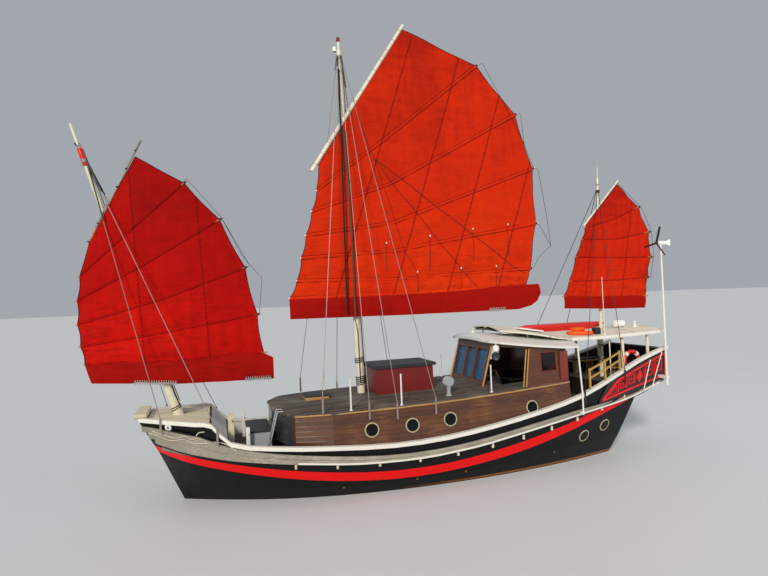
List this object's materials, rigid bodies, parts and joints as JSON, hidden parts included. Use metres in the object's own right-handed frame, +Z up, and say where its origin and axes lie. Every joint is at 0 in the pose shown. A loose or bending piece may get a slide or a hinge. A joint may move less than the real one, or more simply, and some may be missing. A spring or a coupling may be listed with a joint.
{
  "type": "chinese junk passenger boat",
  "caption": "Decked wooden passenger junk afloat: full hull with keel, rudder and propeller, trunk cabin, wheelhouse, awning, raked masts and fully battened lug sails.",
  "frame": {"origin": "on the waterline plane, on the centreline, amidships of the waterline", "axes": "X from bow (-) to stern (+), +Y to starboard, +Z up"},
  "size_m": [16.4705, 4.16, 13.8304],
  "materials": {
    "hull_black": "black gloss hull paint over planking",
    "wale_grey": "weathered grey timber",
    "rail_white": "white gloss paint on timber",
    "cream": "cream paint",
    "teak": "oiled brown planking",
    "weathered": "dark weathered deck",
    "roof_grey": "light grey paint",
    "red_paint": "red gloss paint",
    "boat_red": "red moulded plastic",
    "sail_cloth": "orange-red sailcloth",
    "fore_cloth": "dark red sailcloth",
    "spar_white": "cream-white painted spar",
    "window_glass": "clear tinted pane",
    "steel": "galvanised wire and plate",
    "bronze": "bronze",
    "dark_paint": "dark grey",
    "light_wood": "varnished light timber",
    "white_plastic": "white"
  },
  "bodies": {
    "boat": {"hull": "hull_black", "wale_port": "wale_grey", "wale_starboard": "wale_grey", "rail_cap_port": "rail_white", "rail_cap_starboard": "rail_white", "bow_beam": "cream", "foredeck_platform": "cream", "samson_post": "cream", "foredeck_locker": "roof_grey", "boarding_ladder": "steel", "trunk_cabin": "teak", "cabin_roof": "weathered", "companion_house": "red_paint", "companion_roof": "dark_paint", "wheelhouse": "teak", "windscreen": "window_glass", "wheelhouse_roof": "roof_grey", "helm_console": "dark_paint", "awning": "cream", "awning_frame_port": "cream", "awning_frame_starboard": "cream", "side_pole_port": "spar_white", "side_pole_starboard": "spar_white", "after_railing_port": "light_wood", "after_railing_starboard": "light_wood", "name_board_port": "red_paint", "name_board_starboard": "red_paint", "life_ring": "boat_red", "tender": "boat_red", "wind_pole": "spar_white", "whip_antenna": "white_plastic", "fore_mast": "spar_white", "main_mast": "spar_white", "mizzen_mast": "spar_white", "fore_stays": "steel", "main_stays": "steel", "mizzen_stays": "steel"},
    "fore_rig": {"fore_sail": "fore_cloth", "fore_yard": "light_wood"},
    "main_rig": {"main_sail": "sail_cloth", "main_yard": "spar_white"},
    "mizzen_rig": {"mizzen_sail": "sail_cloth", "mizzen_yard": "spar_white"},
    "rudder_body": {"rudder": "hull_black"},
    "propeller_body": {"propeller": "bronze"},
    "wheel_body": {"steering_wheel": "light_wood"},
    "wind_head_body": {"wind_head": "white_plastic"},
    "wind_rotor_body": {"wind_rotor": "dark_paint"},
    "lid_body": {"foredeck_locker_lid": "dark_paint"}
  },
  "joints": [
    {"name": "fore_sail_swing", "type": "hinge", "parent": "boat", "child": "fore_rig", "pos_m": [-5.96, 0, 2.09], "axis": [-0.2972, 0, 0.9548], "range_deg": [-20, 30]},
    {"name": "main_sail_swing", "type": "hinge", "parent": "boat", "child": "main_rig", "pos_m": [-1.265, 0, 1.206], "axis": [-0.0287, 0, 0.9996], "range_deg": [-15, 35]},
    {"name": "mizzen_sail_swing", "type": "hinge", "parent": "boat", "child": "mizzen_rig", "pos_m": [6.33, 0, 2.0603], "axis": [0.0253, 0, 0.9997], "range_deg": [-20, 25]},
    {"name": "rudder_turn", "type": "hinge", "parent": "boat", "child": "rudder_body", "pos_m": [5.33, 0, -0.8], "axis": [0, 0, 1], "range_deg": [-35, 35]},
    {"name": "propeller_spin", "type": "hinge", "parent": "boat", "child": "propeller_body", "pos_m": [4.87, 0, -0.96], "axis": [1, 0, 0], "continuous": true},
    {"name": "steering_wheel_turn", "type": "hinge", "parent": "boat", "child": "wheel_body", "pos_m": [2.87, 0.37, 2.18], "axis": [1, 0, 0], "range_deg": [-540, 540]},
    {"name": "wind_generator_yaw", "type": "hinge", "parent": "boat", "child": "wind_head_body", "pos_m": [7.3, -1.6, 5.93], "axis": [0, 0, 1], "continuous": true},
    {"name": "wind_rotor_spin", "type": "hinge", "parent": "wind_head_body", "child": "wind_rotor_body", "pos_m": [7.16, -1.6, 5.9903], "axis": [1, 0, 0], "continuous": true},
    {"name": "locker_lid_hinge", "type": "hinge", "parent": "boat", "child": "lid_body", "pos_m": [-3.788, 0, 1.642], "axis": [0, 1, 0], "range_deg": [0, 80]}
  ]
}
